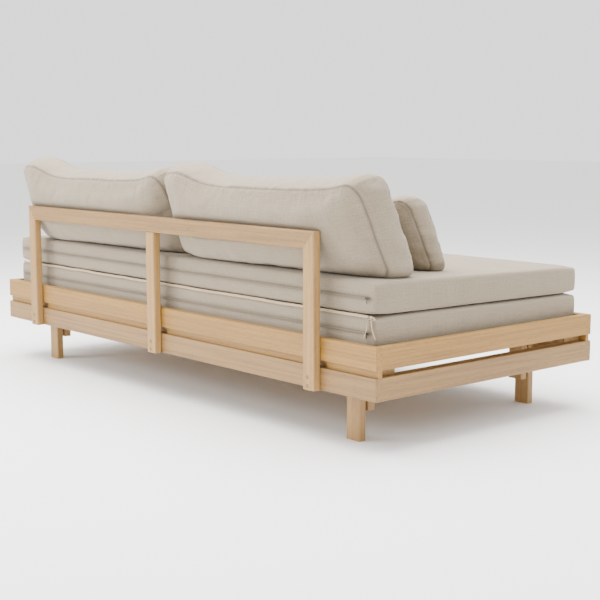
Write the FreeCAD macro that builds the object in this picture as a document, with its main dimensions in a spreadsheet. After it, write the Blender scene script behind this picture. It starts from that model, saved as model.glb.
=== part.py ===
import os
import re

import FreeCAD
import Part
import Sketcher

# A daybed made of two stacked bed rings. The lower ring stands on four legs and
# carries the bolted back frame; the upper ring carries the slats, has short legs
# of its own inside the lower ones and lifts off. Two tied mattresses, two back
# cushions and one small cushion lie on it loose.
#
# Millimetres. X runs along the bed, the back frame is on the +Y side, Z is up.
# The origin is on the floor under the middle of the whole outline.

SIZES = {
    # both rings
    "mattress_end_gap": 20,
    "mattress_side_gap": 10,
    "board_height": 65,
    "board_thickness": 24,
    "edge_rounding": 2.5,
    "floor_gap": 154,
    "tier_gap": 21,
    "lift_play": 1,
    "rest_gap": 0.5,
    # lower ring, inside
    "cleat_thickness": 16,
    "lower_rail_gap": 42,
    "lower_rail_height": 40,
    "rail_thickness": 24,
    # upper ring, underneath
    "spacer_thickness": 14,
    "post_slot_margin": 14,
    "bearer_width": 76,
    "bearer_end_gap": 4,
    "upper_rail_height": 45,
    "upper_rail_end_gap": 36,
    # legs, the same stock on both rings
    "leg_width": 56,
    "leg_thickness": 26,
    "leg_end_inset": 156,
    "leg_top_drop": 5,
    "leg_rounding": 4,
    # slats
    "slat_count": 14,
    "slat_width": 70,
    "slat_thickness": 20,
    "slat_end_play": 4,
    # back frame
    "back_length": 1640,
    "back_height": 609,
    "post_width": 48,
    "post_depth": 27,
    "top_rail_height": 52,
    "post_rounding": 5,
    # fasteners
    "dowel_diameter": 8,
    "dowel_length": 40,
    "dowel_spread": 28,
    "bearer_dowel_length": 26,
    "bearer_dowel_count": 6,
    "cleat_screw_count": 3,
    "screw_diameter": 5,
    "screw_head_diameter": 9,
    "screw_head_height": 3,
    "bolt_diameter": 7,
    "bolt_head_diameter": 13,
    "bolt_head_height": 4,
    "bolt_sink": 1.5,
    "bolt_edge_distance": 12,
    "bolt_spacing": 26,
    "bolts_per_post": 2,
    "nut_flange_diameter": 15,
    "nut_flange_height": 2,
    "nut_sleeve_diameter": 9,
    "nut_sleeve_length": 16,
    # mattresses
    "mattress_length": 2000,
    "mattress_width": 900,
    "mattress_thickness": 97,
    "mattress_corner_radius": 20,
    "mattress_edge_radius": 16,
    "cover_thickness": 3,
    "zip_height": 7,
    "zip_thickness": 1.5,
    "zip_end_inset": 18,
    "slider_length": 14,
    "slider_height": 9,
    "slider_thickness": 3,
    # cotton tie tape
    "tape_width": 8,
    "tape_thickness": 1,
    "tape_drop": 6.5,
    "knot_length": 20,
    "knot_height": 14,
    "knot_depth": 8,
    "tail_length": 52,
    "tail_gap": 6,
    "tail_stand": 6,
    # back cushions
    "cushion_length": 935,
    "cushion_thickness": 225,
    "cushion_height": 328,
    "cushion_lean": 148,
    "cushion_top_drop": 90,
    "cushion_gap": 6,
    "cushion_shift": 47,
    "cushion_rounding": 70,
    # small cushion
    "small_length": 480,
    "small_thickness": 135,
    "small_height": 238,
    "small_lean": 143,
    "small_top_drop": 48,
    "small_end_inset": 140,
    "small_rounding": 40,
}

# Places worked out from the sizes, written once and used by name below.
PLACES = {
    "ring_length": "(mattress_length + 2*mattress_end_gap + 2*board_thickness)",
    "ring_depth": "(mattress_width + 2*mattress_side_gap + 2*board_thickness)",
    "end_face": "ring_length/2",
    "end_inner": "(end_face - board_thickness)",
    "rear_face": "(ring_depth/2 - post_depth/2)",
    "front_face": "(-ring_depth/2 - post_depth/2)",
    "rear_inner": "(rear_face - board_thickness)",
    "front_inner": "(front_face + board_thickness)",
    "middle_line": "((rear_face + front_face)/2)",
    "lower_bottom": "floor_gap",
    "lower_top": "(lower_bottom + board_height)",
    "upper_bottom": "(lower_top + tier_gap)",
    "upper_rear_face": "(rear_face - lift_play)",
    "upper_front_face": "(front_face + lift_play)",
    "upper_rear_inner": "(upper_rear_face - board_thickness)",
    "upper_front_inner": "(upper_front_face + board_thickness)",
    "bearer_bottom": "(lower_top + rest_gap)",
    "bearer_thickness": "(tier_gap - rest_gap)",
    "slat_bottom": "(bearer_bottom + upper_rail_height)",
    "slat_top": "(slat_bottom + slat_thickness)",
    "lower_mattress_bottom": "(slat_top + rest_gap)",
    "upper_mattress_bottom": "(lower_mattress_bottom + mattress_thickness + rest_gap)",
    "seat": "(upper_mattress_bottom + mattress_thickness)",
    "mattress_rear": "(middle_line + mattress_width/2)",
    "post_bottom": "lower_bottom",
    "post_center": "(back_length/2 - post_width/2)",
    "post_slot": "(post_width/2 + post_slot_margin)",
    "upper_rail_end": "(end_inner - upper_rail_end_gap)",
    "lower_rail_end": "(end_inner - cleat_thickness)",
    "first_slat": "(upper_rail_end - slat_width/2)",
    "corner_dowel_depth": "(dowel_length*5/8)",
    "leg_screw_length": "(leg_thickness + rail_thickness*3/4)",
    "lower_leg_screw_low": "(lower_top - lower_rail_height*3/4)",
    "lower_leg_screw_high": "(lower_top - lower_rail_height/3)",
    "upper_leg_screw_low": "(bearer_bottom + upper_rail_height/4)",
    "upper_leg_screw_high": "(bearer_bottom + upper_rail_height*5/8)",
    "cleat_screw_length": "(cleat_thickness + board_thickness*2/3)",
    "cleat_screw_spacing": "(ring_depth*3/8)",
    "slat_screw_length": "(slat_thickness + upper_rail_height/2)",
    "bolt_length": "(post_depth - bolt_sink + board_thickness - nut_flange_height)",
    "mitre_dowel_bottom": "(back_height - top_rail_height*3/4 - dowel_length/2)",
    "zip_run": "(mattress_length/2 - zip_end_inset)",
    "tape_run": "(mattress_length/2 - mattress_corner_radius)",
}

STRAIGHT = 0.999  # an edge counts as running along an axis above this share
LEVEL = 0.01  # an edge that rises less than this lies in a level plane

doc = FreeCAD.newDocument("daybed")
sheet = doc.addObject("Spreadsheet::Sheet", "sizes")
parts = {}


def fill_sheet():
    for row, (alias, size) in enumerate(SIZES.items(), start=1):
        sheet.set(f"A{row}", alias)
        sheet.set(f"B{row}", str(size))
        sheet.setAlias(f"B{row}", alias)
    doc.recompute()


def expression(text):
    """Spell out the named places and point every size at its cell."""
    text = str(text)
    while any(name in PLACES for name in re.findall(r"[a-z_]+", text)):
        text = re.sub(r"[a-z_]+", lambda word: PLACES.get(word.group(), word.group()), text)
    return re.sub(r"[a-z_]+", lambda word: f"sizes.{word.group()}" if word.group() in SIZES
                  else word.group(), text)


def value(text):
    """The number that an expression stands for, for code that counts or builds shapes."""
    return float(sheet.evalExpression(expression(text)))


def move_to(thing, x, y, z):
    for axis, text in zip("xyz", (x, y, z)):
        thing.setExpression(f"Placement.Base.{axis}", expression(text))


def box(name, corner, sides):
    """A box from its lowest corner and its sides along X, Y and Z."""
    block = doc.addObject("Part::Box", name)
    for side, text in zip(("Length", "Width", "Height"), sides):
        block.setExpression(side, expression(text))
    move_to(block, *corner)
    return block


TURNS = {
    "x": FreeCAD.Rotation(FreeCAD.Vector(0, 1, 0), 90),
    "-x": FreeCAD.Rotation(FreeCAD.Vector(0, 1, 0), -90),
    "y": FreeCAD.Rotation(FreeCAD.Vector(1, 0, 0), -90),
    "-y": FreeCAD.Rotation(FreeCAD.Vector(1, 0, 0), 90),
    "z": FreeCAD.Rotation(),
    "-z": FreeCAD.Rotation(FreeCAD.Vector(1, 0, 0), 180),
}


def rod(name, base, direction, diameter, length):
    """A cylinder from the centre of one end, pointing along one axis."""
    turned = doc.addObject("Part::Cylinder", name)
    turned.setExpression("Radius", expression(f"({diameter})/2"))
    turned.setExpression("Height", expression(length))
    turned.Placement = FreeCAD.Placement(FreeCAD.Vector(), TURNS[direction])
    move_to(turned, *base)
    return turned


def headed_rod(name, base, direction, sizes):
    """A screw or bolt from the top of its head, as one solid of head and shank."""
    head_diameter, head_height, diameter, length = sizes
    head = rod(f"{name}_head", base, direction, head_diameter, head_height)
    shank = rod(f"{name}_shank", base, direction, diameter, length)
    whole = doc.addObject("Part::Fuse", name)
    whole.Base = head
    whole.Tool = shank
    return whole


def group(name, solids):
    """One node that holds several identical, separate solids."""
    bundle = doc.addObject("Part::Compound", name)
    bundle.Links = solids
    return bundle


def drilled(name, base, tools):
    """The base with the room for every tool cut out of it."""
    for number, tool in enumerate(tools, start=1):
        hole = doc.addObject("Part::Cut", f"{name}_cut_{number}")
        hole.Base = base
        hole.Tool = tool
        base = hole
    return base


def lies_along(edge, axes):
    """Whether a straight edge runs along one of the axes."""
    start, end = edge.firstVertex().Point, edge.lastVertex().Point
    return max(abs(getattr((end - start).normalize(), axis)) for axis in axes) > STRAIGHT


def eased(name, base, axes, radius):
    """The base with its edges along the given axes rounded."""
    doc.recompute()
    round_edges = doc.addObject("Part::Fillet", f"{name}_eased")
    round_edges.Base = base
    reach = value(radius)
    round_edges.Edges = [(number, reach, reach) for number, edge in enumerate(base.Shape.Edges, start=1)
                         if lies_along(edge, axes)]
    return round_edges


def keep(name, thing):
    """Mark a finished sub-part, which is written under this name."""
    thing.Label = name
    parts[name] = thing
    return thing


def origin_plane(body, role):
    return next(plane for plane in body.Origin.OriginFeatures if plane.Role == role)


def profile_body(name, role, corners, depth, rounding, axes=None):
    """A body padded from a polygon bound to the sizes, rounded along the axes or all over."""
    body = doc.addObject("PartDesign::Body", name)
    sketch = body.newObject("Sketcher::SketchObject", f"{name}_profile")
    sketch.AttachmentSupport = [(origin_plane(body, role), "")]
    sketch.MapMode = "FlatFace"
    spots = [FreeCAD.Vector(value(across), value(up), 0) for across, up in corners]
    for number, spot in enumerate(spots):
        following = spots[(number + 1) % len(spots)]
        sketch.addGeometry(Part.LineSegment(spot, following), False)
    for number in range(len(spots)):
        sketch.addConstraint(Sketcher.Constraint("Coincident", number, 2, (number + 1) % len(spots), 1))
    for number, (across, up) in enumerate(corners):
        for kind, text, size in (("DistanceX", across, spots[number].x),
                                 ("DistanceY", up, spots[number].y)):
            row = sketch.addConstraint(Sketcher.Constraint(kind, -1, 1, number, 1, size))
            sketch.setExpression(f"Constraints[{row}]", expression(text))
    pad = body.newObject("PartDesign::Pad", f"{name}_pad")
    pad.Profile = sketch
    pad.setExpression("Length", expression(depth))
    doc.recompute()
    edges = body.newObject("PartDesign::Fillet", f"{name}_rounding")
    edges.Base = (pad, [f"Edge{number}" for number, edge in enumerate(pad.Shape.Edges, start=1)
                        if axes is None or lies_along(edge, axes)])
    edges.setExpression("Radius", expression(rounding))
    body.Tip = edges
    return body


# The two long sides of the bed: which way is outwards, and how to write it.
OUTWARD = {"rear": "+", "front": "-"}
INWARD = {"rear": "-", "front": "+"}
OUTWARD_AXIS = {"rear": "y", "front": "-y"}
END_SIGN = {"left": "-", "right": ""}


def slab(name, face, outer, thickness, x_range, z_range):
    """A plank along a long side, from its outer face inwards, between two X and two Z places."""
    low_y = f"{outer} - {thickness}" if face == "rear" else outer
    (x_low, x_high), (z_low, z_high) = x_range, z_range
    sides = (f"{x_high} - ({x_low})", thickness, f"{z_high} - ({z_low})")
    return box(f"{name}_blank", (x_low, low_y, z_low), sides)


def inward(face, outer, distance):
    return f"({outer} {INWARD[face]} {distance})"


def ring(level, rear, front, bottom):
    """The four boards of a ring and the dowels in its corners."""
    top = f"{bottom} + board_height"
    boards = {}
    for face, outer in (("rear", rear), ("front", front)):
        board = slab(f"{level}_{face}_board", face, outer, "board_thickness",
                     ("-end_face", "end_face"), (bottom, top))
        boards[f"{level}_{face}_board"] = eased(f"{level}_{face}_board", board, "x", "edge_rounding")
    rear_wall = inward("rear", rear, "board_thickness")
    front_wall = inward("front", front, "board_thickness")
    for side, x in (("left", "-end_face"), ("right", "end_inner")):
        board = box(f"{level}_{side}_board_blank", (x, front_wall, bottom),
                    ("board_thickness", f"{rear_wall} - {front_wall}", "board_height"))
        boards[f"{level}_{side}_board"] = eased(f"{level}_{side}_board", board, "y", "edge_rounding")
    dowels = []
    for sign in END_SIGN.values():
        for face, wall in (("rear", rear_wall), ("front", front_wall)):
            for shift in ("-", "+"):
                x = f"{sign}(end_face - board_thickness/2)"
                mouth = f"{wall} {INWARD[face]} corner_dowel_depth"
                z = f"{bottom} + board_height/2 {shift} dowel_spread/2"
                dowels.append(rod(f"{level}_corner_dowel_{len(dowels)}", (x, mouth, z),
                                  OUTWARD_AXIS[face], "dowel_diameter", "dowel_length"))
    bundle = keep(f"{level}_corner_dowels", group(f"{level}_corner_dowels", dowels))
    return {name: drilled(f"{name}_corners", board, [bundle]) for name, board in boards.items()}


def legs(level, walls, bottom, top, screw_heights):
    """Four legs on the inner faces of two rails, and the screws that hold them.

    walls gives the inner face of the rail on each long side.
    """
    screws = {"rear": [], "front": []}
    for face, wall in walls.items():
        for side, sign in END_SIGN.items():
            name = f"{level}_{face}_{side}_leg"
            low = "-end_face + leg_end_inset" if side == "left" else "end_face - leg_end_inset - leg_width"
            stock = slab(name, face, wall, "leg_thickness", (low, f"{low} + leg_width"), (bottom, top))
            screw_shape = ("screw_head_diameter", "screw_head_height", "screw_diameter",
                           "leg_screw_length")
            mouth = inward(face, wall, "leg_thickness")
            own = [headed_rod(f"{name}_screw_{number}", (f"{low} + leg_width/2", mouth, height),
                              OUTWARD_AXIS[face], screw_shape)
                   for number, height in enumerate(screw_heights)]
            keep(name, drilled(name, eased(name, stock, "z", "leg_rounding"), own))
            screws[face] += own
    keep(f"{level}_leg_screws", group(f"{level}_leg_screws", screws["rear"] + screws["front"]))
    return screws


def lower_ring():
    """The ring on the floor legs: boards, end cleats, inner rails and legs."""
    boards = ring("lower", "rear_face", "front_face", "lower_bottom")
    cleat_bottom = "(lower_top - lower_rail_height)"
    screws = []
    for side, sign in END_SIGN.items():
        x = "-end_inner" if side == "left" else "lower_rail_end"
        cleat = box(f"{side}_end_cleat_blank", (x, "front_inner", cleat_bottom),
                    ("cleat_thickness", "rear_inner - front_inner", "lower_rail_height"))
        shape = ("screw_head_diameter", "screw_head_height", "screw_diameter", "cleat_screw_length")
        own = [headed_rod(f"{side}_cleat_screw_{number}",
                          (f"{sign}lower_rail_end",
                           f"middle_line + cleat_screw_spacing*({number} - (cleat_screw_count - 1)/2)",
                           "lower_top - lower_rail_height/2"),
                          "-x" if side == "left" else "x", shape)
               for number in range(int(value("cleat_screw_count")))]
        keep(f"{side}_end_cleat", drilled(f"{side}_end_cleat", cleat, own))
        name = f"lower_{side}_board"
        keep(name, drilled(f"{name}_screws", boards.pop(name), own))
        screws += own
    keep("cleat_screws", group("cleat_screws", screws))
    keep("lower_front_board", boards["lower_front_board"])

    outer = {face: inward(face, f"{face}_inner", "lower_rail_gap") for face in INWARD}
    walls = {face: inward(face, outer[face], "rail_thickness") for face in INWARD}
    leg_screws = legs("lower", walls, "0", "lower_top - leg_top_drop",
                      ("lower_leg_screw_low", "lower_leg_screw_high"))
    for face in INWARD:
        rail = slab(f"lower_{face}_rail", face, outer[face], "rail_thickness",
                    ("-lower_rail_end", "lower_rail_end"), (cleat_bottom, "lower_top"))
        keep(f"lower_{face}_rail", drilled(f"lower_{face}_rail", rail, leg_screws[face]))
    return boards["lower_rear_board"]


def spacers():
    """The recessed strips under the upper long boards; the rear one is open behind each back post."""
    def strip(name, face, low, high):
        outer = f"(upper_{face}_inner {OUTWARD[face]} spacer_thickness)"
        return slab(name, face, outer, "spacer_thickness", (low, high), ("bearer_bottom", "upper_bottom"))

    keep("front_spacer", strip("front_spacer", "front", "-end_face", "end_face"))
    starts = ("-end_face", "-post_center + post_slot", "post_slot", "post_center + post_slot")
    ends = ("-post_center - post_slot", "-post_slot", "post_center - post_slot", "end_face")
    keep("rear_spacers", group("rear_spacers", [strip(f"rear_spacer_{number}", "rear", low, high)
                                                for number, (low, high) in enumerate(zip(starts, ends))]))


def bearer_dowels(face, wall):
    """A row of dowels between a bearer and its slat rail, half in the piece on each side."""
    dowels = []
    for number in range(int(value("bearer_dowel_count"))):
        share = f"(2*{number} + 1 - bearer_dowel_count)/bearer_dowel_count"
        base = (f"upper_rail_end*{share}", f"{wall} {INWARD[face]} bearer_dowel_length/2",
                "bearer_bottom + bearer_thickness/2")
        dowels.append(rod(f"{face}_bearer_dowel_{number}", base, OUTWARD_AXIS[face],
                          "dowel_diameter", "bearer_dowel_length"))
    return dowels


def upper_ring():
    """The ring that lifts off: boards, spacers, flat bearers, slat rails and short legs."""
    boards = ring("upper", "upper_rear_face", "upper_front_face", "upper_bottom")
    for name, board in boards.items():
        keep(name, board)
    joints = {face: inward(face, f"upper_{face}_inner", "bearer_width") for face in INWARD}
    walls = {face: inward(face, joints[face], "rail_thickness") for face in INWARD}
    rail_top = "(bearer_bottom + upper_rail_height)"
    leg_screws = legs("upper", walls, "upper_bottom - floor_gap", f"{rail_top} - leg_top_drop",
                      ("upper_leg_screw_low", "upper_leg_screw_high"))
    spacers()
    rails = {}
    dowels = []
    for face in INWARD:
        bearer = slab(f"{face}_bearer", face, f"upper_{face}_inner", "bearer_width",
                      ("-(end_inner - bearer_end_gap)", "end_inner - bearer_end_gap"),
                      ("bearer_bottom", "upper_bottom"))
        rail = slab(f"{face}_slat_rail", face, joints[face], "rail_thickness",
                    ("-upper_rail_end", "upper_rail_end"), ("bearer_bottom", rail_top))
        row = bearer_dowels(face, joints[face])
        row_group = group(f"{face}_rail_dowel_row", row)
        keep(f"{face}_bearer", drilled(f"{face}_bearer", bearer, [row_group]))
        rails[face] = drilled(f"{face}_slat_rail_legs", rail, leg_screws[face] + [row_group])
        dowels += row
    keep("bearer_dowels", group("bearer_dowels", dowels))
    return rails


def slats(rails):
    """The row of slats on the two rails, with one screw into each rail."""
    count = int(value("slat_count"))
    planks = []
    screws = {"rear": [], "front": []}
    for number in range(count):
        center = f"first_slat*(2*{number} + 1 - slat_count)/(slat_count - 1)"
        plank = box(f"slat_{number + 1}_blank",
                    (f"{center} - slat_width/2", "upper_front_inner + slat_end_play", "slat_bottom"),
                    ("slat_width", "upper_rear_inner - upper_front_inner - 2*slat_end_play",
                     "slat_thickness"))
        plank = eased(f"slat_{number + 1}", plank, "y", "edge_rounding")
        own = []
        for face in INWARD:
            line = inward(face, f"upper_{face}_inner", "(bearer_width + rail_thickness/2)")
            screw = headed_rod(f"{face}_slat_screw_{number + 1}", (center, line, "slat_top"), "-z",
                               ("screw_head_diameter", "screw_head_height", "screw_diameter",
                                "slat_screw_length"))
            screws[face].append(screw)
            own.append(screw)
        planks.append(drilled(f"slat_{number + 1}", plank, own))
    keep("slats", group("slats", planks))
    keep("slat_screws", group("slat_screws", screws["rear"] + screws["front"]))
    for face, rail in rails.items():
        row = group(f"{face}_slat_screw_row", screws[face])
        keep(f"{face}_slat_rail", drilled(f"{face}_slat_rail_slats", rail, [row]))


def post_blank(name, center, mitre):
    """A post standing against the lower rear board; mitre names the side that is cut."""
    height = "back_height - post_bottom"
    inside = f"{height} - top_rail_height"
    tops = {"left": (height, inside), "right": (inside, height), None: (inside, inside)}
    low_side, high_side = tops[mitre]
    corners = [("0", "0"), ("post_width", "0"), ("post_width", high_side), ("0", low_side)]
    post = profile_body(name, "XZ_Plane", corners, "post_depth", "post_rounding", "z")
    move_to(post, f"{center} - post_width/2", "rear_face + post_depth", "post_bottom")
    return post


def back_frame(lower_rear_board):
    """Top rail, three posts, their dowels, and the bolts into the lower rear board."""
    centers = {"left": "-post_center", "middle": "0", "right": "post_center"}
    mitres = {"left": "left", "middle": None, "right": "right"}
    posts = {name: post_blank(f"{name}_back_post_blank", centers[name], mitres[name]) for name in centers}
    corners = [("post_width", "0"), ("back_length - post_width", "0"),
               ("back_length", "top_rail_height"), ("0", "top_rail_height")]
    rail = profile_body("top_rail_blank", "XZ_Plane", corners, "post_depth", "post_rounding", "x")
    move_to(rail, "-back_length/2", "rear_face + post_depth", "back_height - top_rail_height")

    middle_y = "rear_face + post_depth/2"
    joint_z = "(back_height - top_rail_height)"
    dowels = {name: [] for name in centers}
    for shift in ("-", "+"):
        base = (f"{shift}post_width/4", middle_y, f"{joint_z} - dowel_length/2")
        dowels["middle"].append(rod(f"middle_back_dowel_{shift == '+'}", base, "z",
                                    "dowel_diameter", "dowel_length"))
    for name, sign in (("left", "-"), ("right", "")):
        base = (f"{sign}post_center", middle_y, "mitre_dowel_bottom")
        dowels[name].append(rod(f"{name}_back_dowel", base, "z", "dowel_diameter", "dowel_length"))
    every = keep("back_dowels", group("back_dowels", [dowel for row in dowels.values() for dowel in row]))
    keep("back_top_rail", drilled("back_top_rail", rail, [every]))

    bolts = []
    nuts = []
    for name, center in centers.items():
        sinks = []
        for number in range(int(value("bolts_per_post"))):
            height = f"post_bottom + bolt_edge_distance + {number}*bolt_spacing"
            head = (center, "rear_face + post_depth - bolt_sink", height)
            bolts.append(headed_rod(f"{name}_back_bolt_{number}", head, "-y",
                                    ("bolt_head_diameter", "bolt_head_height", "bolt_diameter",
                                     "bolt_length")))
            sinks.append(rod(f"{name}_bolt_sink_{number}", (center, "rear_face + post_depth", height), "-y",
                             "bolt_head_diameter", "bolt_sink"))
            nut = headed_rod(f"{name}_back_nut_{number}", (center, "rear_inner", height), "y",
                             ("nut_flange_diameter", "nut_flange_height", "nut_sleeve_diameter",
                              "nut_sleeve_length"))
            nuts.append(drilled(f"{name}_back_nut_{number}", nut, [bolts[-1]]))
            lower_rear_board = drilled(f"{name}_bolt_room_{number}", lower_rear_board, [nut, bolts[-1]])
        post = drilled(f"{name}_back_post", posts[name], bolts[-len(sinks):] + sinks + [every])
        keep(f"{name}_back_post", post)
    keep("back_bolts", group("back_bolts", bolts))
    keep("back_nuts", group("back_nuts", nuts))
    keep("lower_rear_board", lower_rear_board)


def padded_block(name, inset, sides, radii):
    """A box with rounded upright corners and edges, all moved in by an inset."""
    block = box(f"{name}_blank", (inset, inset, inset), tuple(f"{side} - 2*{inset}" for side in sides))
    corner_radius, edge_radius = radii
    upright = eased(f"{name}_corners", block, "z", f"{corner_radius} - {inset}")
    doc.recompute()
    soft = doc.addObject("Part::Fillet", f"{name}_soft")
    soft.Base = upright
    reach = value(f"{edge_radius} - {inset}")
    soft.Edges = [(number, reach, reach) for number, edge in enumerate(upright.Shape.Edges, start=1)
                  if edge.BoundBox.ZLength < LEVEL]
    return soft


def cover_and_filling(name, cover_name, filling_name, outer, inner, place):
    """A closed sewn cover and the filling that fits inside it, moved to their place together."""
    cover = doc.addObject("Part::Cut", f"{name}_cover")
    cover.Base = outer
    cover.Tool = inner
    filling = doc.addObject("Part::Compound", f"{name}_filling")
    filling.Links = [inner]
    for whole, label in ((cover, cover_name), (filling, filling_name)):
        move_to(whole, *place)
        keep(label, whole)


def mattress(level, bottom):
    sides = ("mattress_length", "mattress_width", "mattress_thickness")
    radii = ("mattress_corner_radius", "mattress_edge_radius")
    outer = padded_block(f"{level}_mattress_outer", "0", sides, radii)
    inner = padded_block(f"{level}_mattress_inner", "cover_thickness", sides, radii)
    place = ("-mattress_length/2", "middle_line - mattress_width/2", bottom)
    cover_and_filling(f"{level}_mattress", f"{level}_mattress_cover", f"{level}_mattress_foam",
                      outer, inner, place)
    middle = f"{bottom} + mattress_thickness/2"
    keep(f"{level}_mattress_zip",
         box(f"{level}_mattress_zip", ("-zip_run", "mattress_rear", f"{middle} - zip_height/2"),
             ("2*zip_run", "zip_thickness", "zip_height")))
    keep(f"{level}_zip_slider",
         box(f"{level}_zip_slider", ("-zip_run", "mattress_rear + zip_thickness + rest_gap",
                                     f"{middle} - slider_height/2"),
             ("slider_length", "slider_thickness", "slider_height")))


def tie_tape():
    """The cotton tape along the joint of the mattresses, with its knot and two ends at the corner."""
    low = "upper_mattress_bottom - tape_drop"
    keep("tie_tape", box("tie_tape", ("-tape_run", "mattress_rear", low),
                         ("2*tape_run", "tape_thickness", "tape_width")))
    knot_low = f"{low} + tape_width/2 - knot_height/2"
    knot_x = "-tape_run - knot_length"
    keep("tie_knot", box("tie_knot", (knot_x, "mattress_rear + rest_gap", knot_low),
                         ("knot_length", "knot_depth", "knot_height")))
    for name, shift in (("tie_tail_outer", "- tape_width - tail_gap/2"),
                        ("tie_tail_inner", "+ tail_gap/2")):
        x = f"{knot_x} + knot_length/2 {shift}"
        keep(name, box(name, (x, "mattress_rear + rest_gap + tail_stand", f"{knot_low} - tail_length"),
                       ("tape_width", "tape_thickness", "tail_length")))


def leaning_block(name, inset, sizes, rounding):
    """A cushion flat on its bottom, leaning back, its top edge lower at the rear than at the front."""
    length, thickness, height, lean, drop = sizes
    slope = f"({lean}/{height})"
    corners = [(f"{inset} + {slope}*{inset}", inset),
               (f"{thickness} - {inset} + {slope}*{inset}", inset),
               (f"{thickness} - {inset} + {slope}*({height} - {drop} - {inset})",
                f"{height} - {drop} - {inset}"),
               (f"{inset} + {slope}*({height} - {inset})", f"{height} - {inset}")]
    return profile_body(name, "YZ_Plane", corners, f"{length} - 2*{inset}", f"{rounding} - {inset}")


def cushion(name, sizes, rounding, place):
    outer = leaning_block(f"{name}_outer", "0", sizes, rounding)
    inner = leaning_block(f"{name}_inner", "cover_thickness", sizes, rounding)
    move_to(inner, "cover_thickness", "0", "0")
    cover_and_filling(name, f"{name}_cover", f"{name}_filling", outer, inner, place)


def cushions():
    """Two cushions that lean on the top rail, and a small one that leans on the left one."""
    floor = "(seat + rest_gap)"
    slope = "(cushion_lean/cushion_height)"
    rear_foot = f"(rear_face - rest_gap - {slope}*(back_height - {floor}))"
    sizes = ("cushion_length", "cushion_thickness", "cushion_height", "cushion_lean", "cushion_top_drop")
    for name, x in (("left_back_cushion", "-cushion_shift - cushion_gap/2 - cushion_length"),
                    ("right_back_cushion", "-cushion_shift + cushion_gap/2")):
        cushion(name, sizes, "cushion_rounding", (x, f"{rear_foot} - cushion_thickness", floor))
    reach = "(small_height - small_top_drop)"
    touching = f"{rear_foot} - cushion_thickness + {slope}*{reach} - rest_gap"
    small_sizes = ("small_length", "small_thickness", "small_height", "small_lean", "small_top_drop")
    cushion("small_cushion", small_sizes, "small_rounding",
            ("-end_face + small_end_inset",
             f"{touching} - small_thickness - small_lean/small_height*{reach}", floor))


def check_document():
    """Stop if any object failed, or if a sub-part has no valid shape."""
    for thing in doc.Objects:
        if "Invalid" in thing.State or "Error" in thing.State:
            raise RuntimeError(f"{thing.Name} failed: {thing.State}")
    for name, thing in parts.items():
        if thing.Shape.isNull() or not thing.Shape.isValid() or thing.Shape.Volume <= 0:
            raise RuntimeError(f"{name} has no valid shape")


def write_parts():
    os.makedirs("parts", exist_ok=True)
    for name, thing in parts.items():
        thing.Shape.exportStep(os.path.join("parts", f"{name}.step"))


fill_sheet()
rear_board = lower_ring()
back_frame(rear_board)
slats(upper_ring())
for level, bottom in (("lower", "lower_mattress_bottom"), ("upper", "upper_mattress_bottom")):
    mattress(level, bottom)
tie_tape()
cushions()
doc.recompute()
check_document()
write_parts()
print(len(parts), "sub-parts written")
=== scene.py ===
import bpy
import math
import numpy as np
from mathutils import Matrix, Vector, noise


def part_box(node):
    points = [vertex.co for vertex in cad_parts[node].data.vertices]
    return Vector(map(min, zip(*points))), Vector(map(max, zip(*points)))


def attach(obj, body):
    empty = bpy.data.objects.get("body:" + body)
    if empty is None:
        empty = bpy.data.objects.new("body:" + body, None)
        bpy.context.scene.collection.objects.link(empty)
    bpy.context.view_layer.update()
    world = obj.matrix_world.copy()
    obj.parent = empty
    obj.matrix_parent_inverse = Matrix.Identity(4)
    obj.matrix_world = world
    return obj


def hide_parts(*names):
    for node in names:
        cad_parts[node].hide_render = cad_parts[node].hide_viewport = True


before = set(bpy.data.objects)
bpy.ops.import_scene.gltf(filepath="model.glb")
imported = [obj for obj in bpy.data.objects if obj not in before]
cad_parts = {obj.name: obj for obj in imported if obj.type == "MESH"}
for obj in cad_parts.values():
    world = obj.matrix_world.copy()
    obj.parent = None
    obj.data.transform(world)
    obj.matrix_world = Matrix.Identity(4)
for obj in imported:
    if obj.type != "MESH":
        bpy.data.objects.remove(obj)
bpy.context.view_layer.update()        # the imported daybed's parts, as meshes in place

# The daybed's looks: oak frame, linen mattresses and cushions, cotton tie, zips and bolts.
# Metres. X along the bed, +Y is the back frame's side, Z up.


# small helpers

hair = 1e-6        # metres: places closer than this count as the same
noLength = 1e-9    # metres: stands in for a length of nothing where one is divided by


def deselectAll():
    if bpy.context.mode != "OBJECT":
        bpy.ops.object.mode_set(mode="OBJECT")
    bpy.ops.object.select_all(action="DESELECT")


def makeActive(piece):
    deselectAll()
    piece.select_set(True)
    bpy.context.view_layer.objects.active = piece


def applyPlace(piece):
    makeActive(piece)
    bpy.ops.object.transform_apply(location=True, rotation=True, scale=True)


def places(piece):
    # every vertex as one row of x, y, z
    flat = np.empty(len(piece.data.vertices) * 3)
    piece.data.vertices.foreach_get("co", flat)
    return flat.reshape(-1, 3)


def setPlaces(piece, rows):
    piece.data.vertices.foreach_set("co", np.ascontiguousarray(rows).ravel())
    piece.data.update()


def vertexNormals(piece):
    flat = np.empty(len(piece.data.vertices) * 3)
    piece.data.vertices.foreach_get("normal", flat)
    return flat.reshape(-1, 3)


def useModifier(piece, kind, **settings):
    # add a modifier, set it and apply it
    makeActive(piece)
    modifier = piece.modifiers.new(kind.lower(), kind)
    for name, setting in settings.items():
        setattr(modifier, name, setting)
    bpy.ops.object.modifier_apply(modifier=modifier.name)


def ease(share):
    # a smooth step from 0 to 1
    share = np.clip(share, 0, 1)
    return share * share * (3 - 2 * share)


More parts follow.
